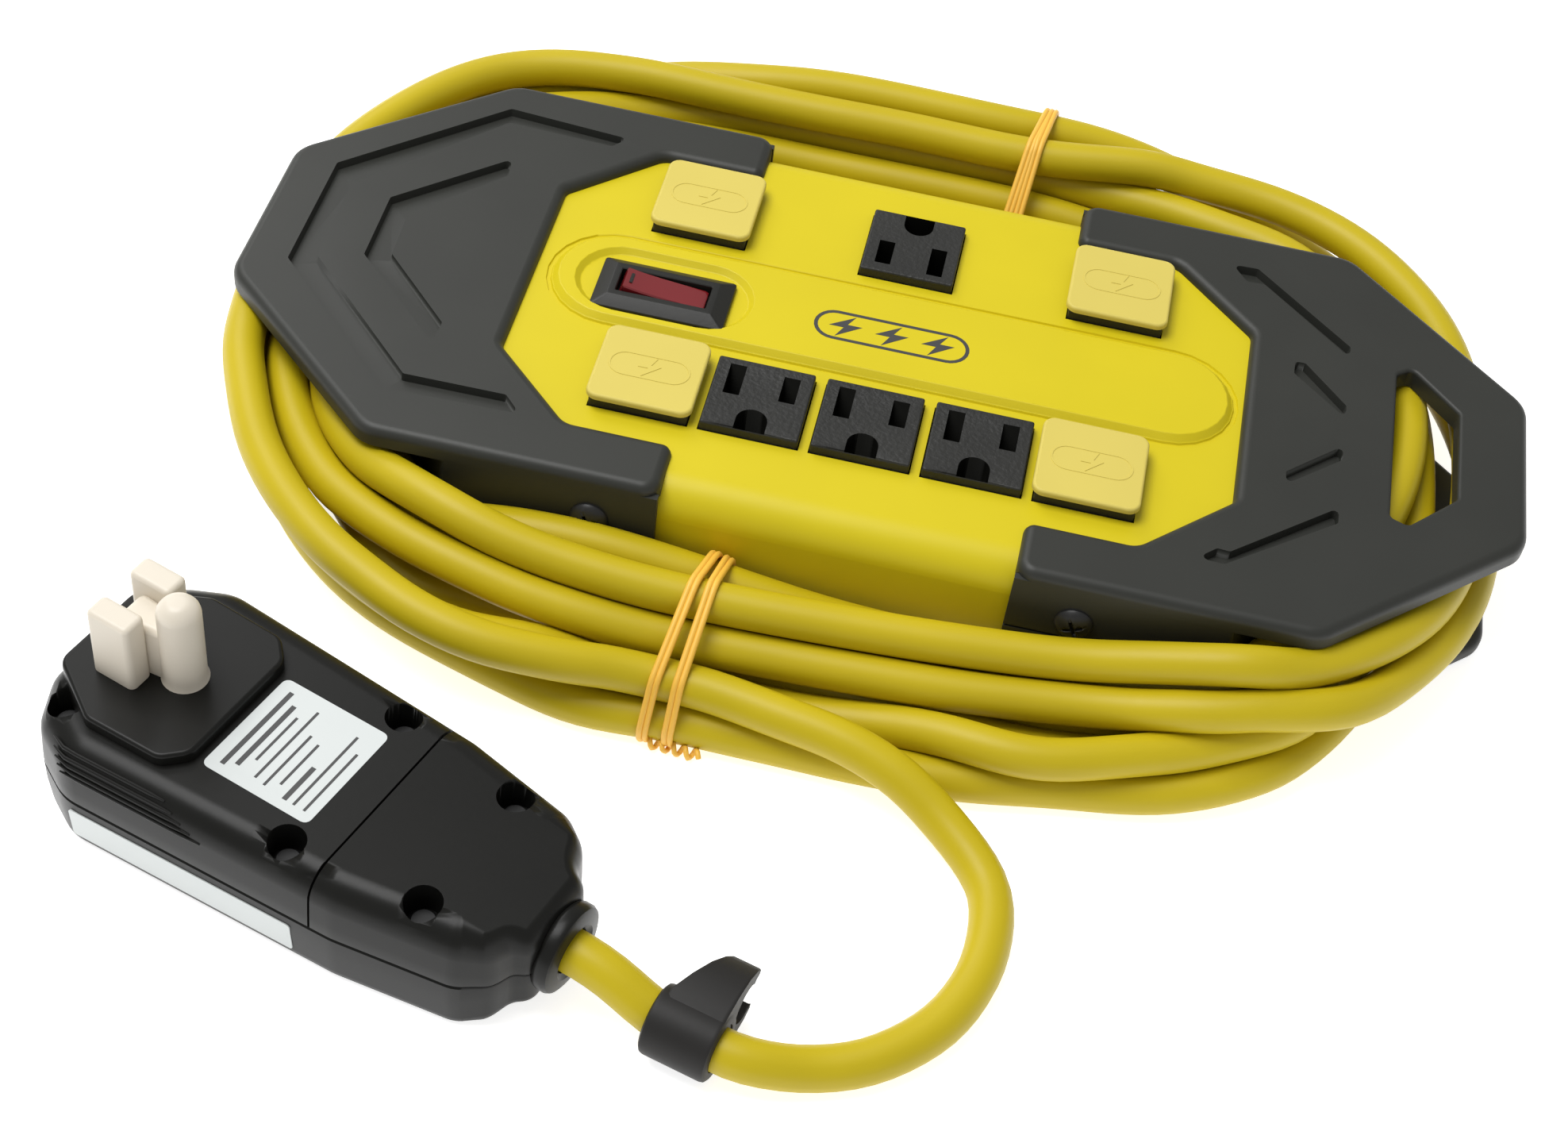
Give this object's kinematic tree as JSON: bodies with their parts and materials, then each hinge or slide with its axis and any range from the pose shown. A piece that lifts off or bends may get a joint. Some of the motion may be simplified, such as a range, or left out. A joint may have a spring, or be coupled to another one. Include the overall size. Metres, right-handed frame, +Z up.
{
  "type": "power strip with cord",
  "caption": "flat metal outlet strip with black cord-wrap end plates and handle, lighted rocker switch, pull-out outlet covers, wound yellow cord and in-line ground-fault plug",
  "frame": {"origin": "centre of the strip's own footprint at the surface it lies on", "axes": "+X along the strip towards the handle, +Y away from the cord tail and plug, +Z up out of the outlets"},
  "size_m": [0.3015, 0.2873, 0.0553],
  "materials": {
    "yellow_paint": "semi-gloss powder coat",
    "black_moulding": "fine texture",
    "black_screw": "black oxide",
    "pale_cap": "fine texture",
    "outlet_grey": "sparkle texture",
    "brass_contact": "stamped",
    "wire_black": "smooth",
    "wire_white": "smooth",
    "wire_green": "smooth",
    "switch_black": "semi-gloss",
    "rocker_red": "translucent gloss",
    "reset_red": "gloss",
    "cord_yellow": "satin jacket",
    "clip_black": "satin",
    "band_orange": "satin",
    "guard_ivory": "satin",
    "plug_black": "gloss",
    "board_green": "solder mask",
    "copper_coil": "varnished winding"
  },
  "bodies": {
    "strip": {"housing_shell": "yellow_paint", "base_plate": "yellow_paint", "end_cap_left": "black_moulding", "end_cap_right": "black_moulding", "lower_flange_left": "black_moulding", "lower_flange_right": "black_moulding", "side_screw_front_left": "black_screw", "side_screw_front_right": "black_screw", "side_screw_rear_left": "black_screw", "side_screw_rear_right": "black_screw", "outlet_front_1": "outlet_grey", "outlet_front_2": "outlet_grey", "outlet_front_3": "outlet_grey", "outlet_front_4": "outlet_grey", "outlet_front_5": "outlet_grey", "outlet_rear_1": "outlet_grey", "outlet_rear_2": "outlet_grey", "outlet_rear_3": "outlet_grey", "bus_neutral_front": "brass_contact", "bus_line_front": "brass_contact", "bus_ground_front": "brass_contact", "bus_neutral_rear": "brass_contact", "bus_line_rear": "brass_contact", "bus_ground_rear": "brass_contact", "wire_line": "wire_black", "wire_neutral": "wire_white", "wire_ground": "wire_green", "switch_bezel": "switch_black", "switch_body": "switch_black", "cord_gland": "black_moulding", "cord_coil": "cord_yellow", "cord_tail": "cord_yellow", "cord_clip": "clip_black", "band_front": "band_orange", "band_rear": "band_orange", "plug_lower_shell": "plug_black", "plug_upper_shell": "plug_black", "plug_terminal_cover": "plug_black", "blade_neutral": "brass_contact", "blade_line": "brass_contact", "ground_pin": "brass_contact", "plug_grommet": "plug_black", "circuit_board": "board_green", "sensing_coil": "copper_coil"},
    "rocker": {"switch_rocker": "rocker_red"},
    "cap_front_left": {"outlet_cap_front_left": "pale_cap"},
    "cap_front_right": {"outlet_cap_front_right": "pale_cap"},
    "cap_rear_left": {"outlet_cap_rear_left": "pale_cap"},
    "cap_rear_right": {"outlet_cap_rear_right": "pale_cap"},
    "guard": {"blade_guard": "guard_ivory"},
    "test_key": {"test_button": "switch_black"},
    "reset_key": {"reset_button": "reset_red"}
  },
  "joints": [
    {"name": "rocker_tilt", "type": "hinge", "parent": "strip", "child": "rocker", "pos_m": [-0.0533, -0.0002, 0.035], "axis": [0, 1, 0], "range_deg": [-24, 0]},
    {"name": "cap_front_left_pull", "type": "slide", "parent": "strip", "child": "cap_front_left", "axis": [0, 0, 1], "range_m": [0, 0.03]},
    {"name": "cap_front_right_pull", "type": "slide", "parent": "strip", "child": "cap_front_right", "axis": [0, 0, 1], "range_m": [0, 0.03]},
    {"name": "cap_rear_left_pull", "type": "slide", "parent": "strip", "child": "cap_rear_left", "axis": [0, 0, 1], "range_m": [0, 0.03]},
    {"name": "cap_rear_right_pull", "type": "slide", "parent": "strip", "child": "cap_rear_right", "axis": [0, 0, 1], "range_m": [0, 0.03]},
    {"name": "guard_pull", "type": "slide", "parent": "strip", "child": "guard", "axis": [0, 0, 1], "range_m": [0, 0.03]},
    {"name": "test_press", "type": "slide", "parent": "strip", "child": "test_key", "axis": [0, 0, 1], "range_m": [0, 0.0015], "stiffness_N_per_m": 400},
    {"name": "reset_press", "type": "slide", "parent": "strip", "child": "reset_key", "axis": [0, 0, 1], "range_m": [0, 0.0015], "stiffness_N_per_m": 400}
  ]
}
